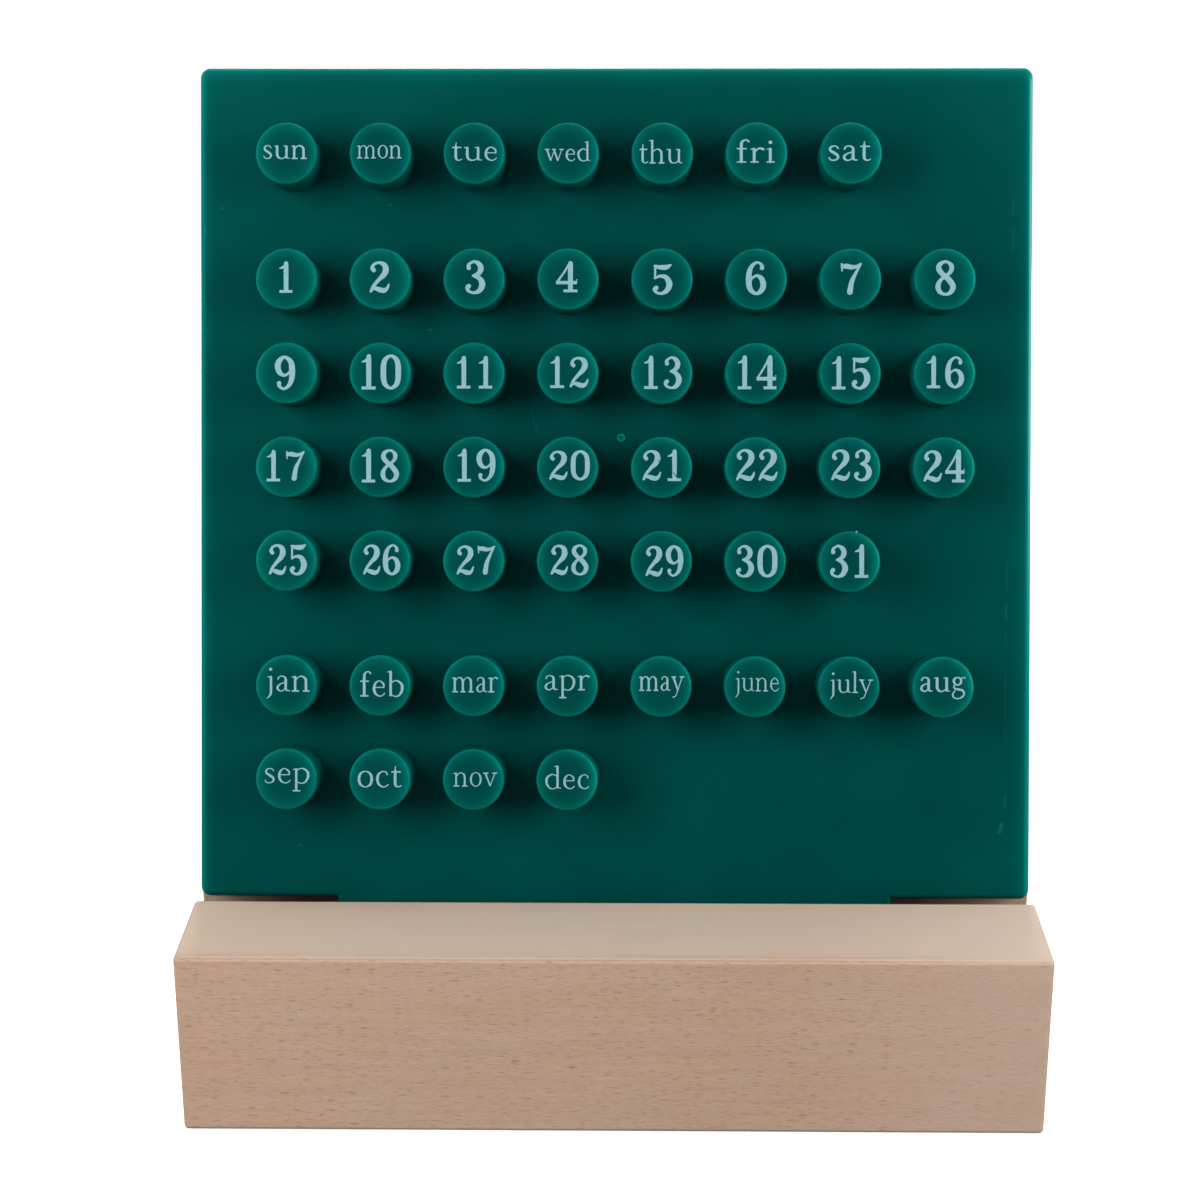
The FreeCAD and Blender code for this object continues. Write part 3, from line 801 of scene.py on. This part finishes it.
def studio_floor(name):
    """Matt white card, lit from below as on a light table."""
    make = Finish(name)
    cloud = make.noise(400)
    card = make.blend(make.swing(cloud, 0.0, 0.02), shade("floor_white"), (0.85, 0.86, 0.87, 1))
    make.surface(
        Base_Color=card, Roughness=make.swing(cloud, 0.85, 0.9), Specular_IOR_Level=0.1,
        Emission_Color=(1.0, 1.0, 1.0, 1.0), Emission_Strength=0.46,
    )
    return make.material


FINISHES = {
    "sanded_beech": beech,
    "board_plastic": lambda name: green_plastic(name, on_pegs=False),
    "peg_plastic": lambda name: green_plastic(name, on_pegs=True),
    "print_ink": pale_print,
    "white_card": studio_floor,
}


def finish_named(name):
    return bpy.data.materials.get(name) or FINISHES[name](name)


def refinish(node, finish):
    """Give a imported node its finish. Its mesh stays as it is."""
    mesh = frame["nodes"][node].data
    mesh.materials.clear()
    mesh.materials.append(finish_named(finish))


# Camera and light, as the photograph has them

# The camera's place in metres, and its lens and sensor in millimetres
CAMERA_PLACE = (0.003365, -0.38444, 0.22478)
CAMERA_LENS = 71.045
SENSOR_WIDTH = 36.0
# How far the camera looks to the right, up and tilted, in degrees
CAMERA_YAW, CAMERA_PITCH, CAMERA_ROLL = -0.8562, -19.3907, 0.1451
# Soft lamps, as seen from the middle of the pegs: degrees round from the board's own outward
# direction and up from there, then distance, width and height in metres, and watts
SOFT_LAMPS = {
    "left": (-47, 9, 0.45, 0.22, 0.34, 1.70),
    "right": (60, 10, 0.45, 0.28, 0.30, 1.75),
    "behind": (180, 34, 0.70, 0.34, 0.40, 3.6),
}
# From the board's shoulders up to the middle of the pegs, in millimetres
LAMPS_LEVEL = 75.0
# Light from above and behind, which doesn't reach the board's face: direction, strength and how
# many degrees of the sky it covers
OVERHEAD = ((0.0, 0.35, 1.0), 1.30, 50)
SKY_STRENGTH = 0.23
# The floor is flat up to its reach and then turns up to its rim like a quarter wave, in metres
FLOOR_REACH, FLOOR_RIM, FLOOR_RISE = 3.0, 4.6, 1.1
# Rings of points on the floor's flat and turned up parts, and points in each ring
FLAT_RINGS, RIM_RINGS, FLOOR_SEGMENTS = 10, 14, 96


def camera_turn():
    """Rotation of the camera: rolled, then raised to its pitch, then turned to its yaw."""
    turns = ((-CAMERA_YAW, "Z"), (90 + CAMERA_PITCH, "X"), (-CAMERA_ROLL, "Z"))
    yaw, pitch, roll = (Matrix.Rotation(np.radians(angle), 4, axis) for angle, axis in turns)
    return yaw @ pitch @ roll


# Operators

class StudioOperator(bpy.types.Operator):
    """Set up the pale floor, the soft lamps and the camera."""

    bl_idname = "calendar.studio"
    bl_label = "Floor, light and camera"

    def execute(self, context):
        scene = context.scene
        scene.view_settings.view_transform = "Standard"
        sky = bpy.data.worlds.new("sky")
        sky.use_nodes = True
        background = sky.node_tree.nodes["Background"].inputs
        background["Color"].default_value = (1, 1, 1, 1)
        background["Strength"].default_value = SKY_STRENGTH
        scene.world = sky

        flat = np.linspace(0, FLOOR_REACH, FLAT_RINGS)
        radius = np.append(flat, np.linspace(FLOOR_REACH, FLOOR_RIM, RIM_RINGS)[1:])
        share = np.clip((radius - FLOOR_REACH) / (FLOOR_RIM - FLOOR_REACH), 0, 1)
        height = FLOOR_RISE * (1 - np.cos(share * np.pi / 2))
        points, faces = turned(np.column_stack([radius, height]), FLOOR_SEGMENTS, closed=False)
        facing_up = [group[:, ::-1] for group in faces]
        floor = add_piece("floor", points, facing_up, "white_card", None)
        # The card throws no light back up at the calendar and isn't mirrored in it
        floor.visible_diffuse = floor.visible_glossy = False

        middle = in_room((0, shoulder_level() + LAMPS_LEVEL, board_levels()[3]))
        for name, (round_it, up, distance, width, height, strength) in SOFT_LAMPS.items():
            round_it, up = np.radians([round_it, up])
            source = np.array([np.sin(round_it) * np.cos(up), np.sin(up), np.cos(round_it) * np.cos(up)])
            source = source @ BOARD_AXES
            lamp = bpy.data.lights.new(name, "AREA")
            lamp.shape, lamp.size, lamp.size_y, lamp.energy = "RECTANGLE", width, height, strength
            self.add_lamp(name, lamp, middle + distance * source, source)
        source, strength, width = OVERHEAD
        lamp = bpy.data.lights.new("overhead", "SUN")
        lamp.energy, lamp.angle = strength, np.radians(width)
        self.add_lamp("overhead", lamp, (0, 0, 1), source)

        camera = bpy.data.cameras.new("camera")
        camera.sensor_width, camera.lens, camera.clip_start = SENSOR_WIDTH, CAMERA_LENS, 0.01
        scene.camera = add_object("camera", camera)
        scene.camera.matrix_world = Matrix.Translation(CAMERA_PLACE) @ camera_turn()
        return {"FINISHED"}

    def add_lamp(self, name, lamp, place, source):
        """Put a lamp at its place, shining against the direction that its light comes from."""
        holder = add_object(name, lamp)
        holder.location = place
        holder.rotation_euler = Vector(source).to_track_quat("Z", "Y").to_euler()
        holder.visible_camera = False


class BlockOperator(bpy.types.Operator):
    """Finish the beech block."""

    bl_idname = "calendar.block"
    bl_label = "Beech block"

    def execute(self, context):
        refinish("base_block", "sanded_beech")
        return {"FINISHED"}


class BoardOperator(bpy.types.Operator):
    """Finish the green board."""

    bl_idname = "calendar.board"
    bl_label = "Green board"

    def execute(self, context):
        refinish("calendar_board", "board_plastic")
        return {"FINISHED"}


class GateMarkOperator(bpy.types.Operator):
    """Add the small raised ring that moulding has left in the middle of the board."""

    bl_idname = "calendar.gate_mark"
    bl_label = "Moulding mark"

    # Across the board, up from the shoulders, and the ring's profile as radius and height
    PLACE = (1.08, 82.5)
    PROFILE = [(0, -0.2), (0.74, -0.2), (0.74, 0.03), (0.69, 0.10), (0.58, 0.13), (0.47, 0.10), (0.40, 0.03),
               (0.34, 0.012), (0, 0.012)]
    # Radius of the ring's ridge, and how strongly and how far beside it the plastic glows
    RIDGE, GLOW, GLOW_REACH = 0.58, 0.66, 0.22
    SEGMENTS = 32

    def execute(self, context):
        points, faces = turned(self.PROFILE, self.SEGMENTS)
        shift = (self.PLACE[0], shoulder_level() + self.PLACE[1], board_levels()[3])
        room_points = in_room(points + shift)
        piece = add_piece("gate_mark", room_points, faces, "peg_plastic", "board")
        beside = np.hypot(points[:, 0], points[:, 1]) - self.RIDGE
        add_glow(piece, self.GLOW * np.exp(-(beside / self.GLOW_REACH) ** 2))
        return {"FINISHED"}


class SpeckOperator(bpy.types.Operator):
    """Add the tiny pale speck that clings to the rim of the last date's peg."""

    bl_idname = "calendar.speck"
    bl_label = "Pale speck"

    # A flattened ball: its distance from the peg's middle, degrees round from the right, half width
    # and half height
    REACH, TURN, RADIUS, HEIGHT = 5.42, 77, 0.17, 0.11
    SEGMENTS, RINGS = 20, 13

    def execute(self, context):
        middle, _, top = peg_place(DATES[-1])
        angle = np.linspace(0, np.pi, self.RINGS)
        profile = np.stack([self.RADIUS * np.sin(angle), -self.HEIGHT * np.cos(angle)], axis=-1)
        points, faces = turned(profile, self.SEGMENTS)
        turn = np.radians(self.TURN)
        reach = self.REACH * np.array([np.cos(turn), np.sin(turn)])
        shift = (*(middle + reach), top - self.HEIGHT)
        add_piece("rim_speck", in_room(points + shift), faces, "print_ink", "board")
        return {"FINISHED"}


class PegsOperator(bpy.types.Operator):
    """Turn the fifty pegs, each with its spigot in the board and a glow at its rim."""

    bl_idname = "calendar.pegs"
    bl_label = "Pegs"

    # Places round a peg, up its side to the upper rings, and round the edge of its top
    SEGMENTS, SIDE_STEPS, ROUND_STEPS = 72, 4, 7
    # Radius and chamfer of the spigot
    SPIGOT = (3.0, 0.4)
    # Where the peg has rings of points: down its side from the top, and in from the rounded edge
    SIDE_RINGS = (2.4, 1.6, 1.1, 0.75)
    CROWN_RINGS = (0.06, 0.2, 0.4, 0.65, 0.95, 1.3, 1.75, 2.4, 3.2, 4.2)
    # A peg counts as beside another within this many radii
    NEAR = 4
    # Strength of the glow: on the crown, all down the side, and more near the side's top
    CROWN, SIDE, SIDE_TOP = 0.36, 0.15, 0.16
    # Waves of the glow round the peg: even, right, up, left and right, and to the upper right
    WAVES = (0.95, 0.16, 0.15, 0.20, 0.05)
    # More at the left and right where no peg stands beside, and on the side's lower and right parts
    ALONE, LOWER, RIGHT = (0.24, 0.45), 0.32, 0.08
    # A point no further than this below the top is on the crown
    CROWN_SLACK = 0.01

    def execute(self, context):
        face = board_levels()[3]
        rounding, depth = size("peg_rounding"), size("glow_depth")
        names = DAYS + DATES + MONTHS
        middles = np.array([peg_place(name)[0] for name in names])
        for name in names:
            middle, end, top = peg_place(name)
            radius = (on_board("peg_" + name)[:, 0] - middle[0]).max()
            spigot, chamfer = self.SPIGOT
            upper = top - np.array(self.SIDE_RINGS)
            side = np.append(np.linspace(face, upper[0], self.SIDE_STEPS), upper[1:])
            crown = radius - rounding - np.array(self.CROWN_RINGS)
            profile = np.vstack([
                [(0, end), (spigot - chamfer, end), (spigot, end + chamfer), (spigot, face)],
                np.column_stack([np.full(len(side), radius), side]),
                quarter_round(radius, top, rounding, self.ROUND_STEPS),
                np.column_stack([crown, np.full(len(crown), top)]),
                [(0, top)],
            ])
            points, faces = turned(profile, self.SEGMENTS)
            points_there = in_room(points + (*middle, 0))
            peg = add_piece(
                "turned_peg_" + name, points_there, faces, "peg_plastic", "board")
            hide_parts("peg_" + name)
            beside = middles[np.abs(middles[:, 1] - middle[1]) < radius, 0] - middle[0]
            reach = self.NEAR * radius
            alone = [not np.any((way * beside > 0) & (way * beside < reach)) for way in (-1, 1)]
            add_glow(peg, self.glow(points, radius, top, depth, alone))
        return {"FINISHED"}

    def glow(self, points, radius, top, depth, alone):
        """Share of the lighter green: it fades with the distance in from the rim on the crown and
        down from it on the side. Round the peg it goes as a sum of waves, and it is stronger where
        no other peg stands beside."""
        reach = np.hypot(points[:, 0], points[:, 1])
        inward, down = radius - reach, top - points[:, 2]
        turn = np.arctan2(points[:, 1], points[:, 0])
        cosine, sine = np.cos(turn), np.sin(turn)
        courses = np.array([np.ones_like(turn), cosine, sine, np.cos(2 * turn), np.sin(2 * turn)])
        waves = self.WAVES @ courses
        left, right = np.maximum(-cosine, 0), np.maximum(cosine, 0)
        waves *= 1 + self.ALONE[0] * alone[0] * left ** 2 + self.ALONE[1] * alone[1] * right ** 2
        crown = self.CROWN * np.exp(-inward / depth)
        side = self.SIDE + self.SIDE_TOP * np.exp(-down / depth)
        lower = self.LOWER * np.maximum(-sine, 0) + self.RIGHT * right
        return np.clip(np.where(down < self.CROWN_SLACK, crown * waves, side * (waves + lower)), 0, 1)


class DayPrintsOperator(bpy.types.Operator):
    """Print the days of the week on their pegs."""

    bl_idname = "calendar.day_prints"
    bl_label = "Day prints"

    def execute(self, context):
        for name in DAYS:
            add_print(name, word_ink(name))
        return {"FINISHED"}


class DatePrintsOperator(bpy.types.Operator):
    """Print the dates on their pegs."""

    bl_idname = "calendar.date_prints"
    bl_label = "Date prints"

    def execute(self, context):
        for name in DATES:
            add_print(name, date_ink(name), SCRATCHES if name == SCRATCHED_DATE else ())
        return {"FINISHED"}


class MonthPrintsOperator(bpy.types.Operator):
    """Print the months on their pegs."""

    bl_idname = "calendar.month_prints"
    bl_label = "Month prints"

    def execute(self, context):
        for name in MONTHS:
            add_print(name, word_ink(name))
        return {"FINISHED"}


OPERATORS = [
    StudioOperator, BlockOperator, BoardOperator, GateMarkOperator, PegsOperator, SpeckOperator,
    DayPrintsOperator, DatePrintsOperator, MonthPrintsOperator,
]


class CalendarPanel(bpy.types.Panel):
    """Lists the calendar's operators with its sizes and colours."""

    bl_idname = "VIEW3D_PT_calendar"
    bl_label = "Desk calendar"
    bl_space_type = "VIEW_3D"
    bl_region_type = "UI"
    bl_category = "Calendar"

    def draw(self, context):
        for operator in OPERATORS:
            self.layout.operator(operator.bl_idname)
        for group in (context.scene.calendar_sizes, context.scene.calendar_colours):
            box = self.layout.box()
            for name in group.__annotations__:
                box.prop(group, name)


CLASSES = [CalendarSizes, CalendarColours, *OPERATORS, CalendarPanel]


def register():
    for kind in CLASSES:
        bpy.utils.register_class(kind)
    bpy.types.Scene.calendar_sizes = bpy.props.PointerProperty(type=CalendarSizes)
    bpy.types.Scene.calendar_colours = bpy.props.PointerProperty(type=CalendarColours)


def unregister():
    del bpy.types.Scene.calendar_colours
    del bpy.types.Scene.calendar_sizes
    for kind in reversed(CLASSES):
        bpy.utils.unregister_class(kind)


def main():
    register()
    for operator in OPERATORS:
        group, name = operator.bl_idname.split(".")
        getattr(getattr(bpy.ops, group), name)()


if __name__ == "__main__":
    main()
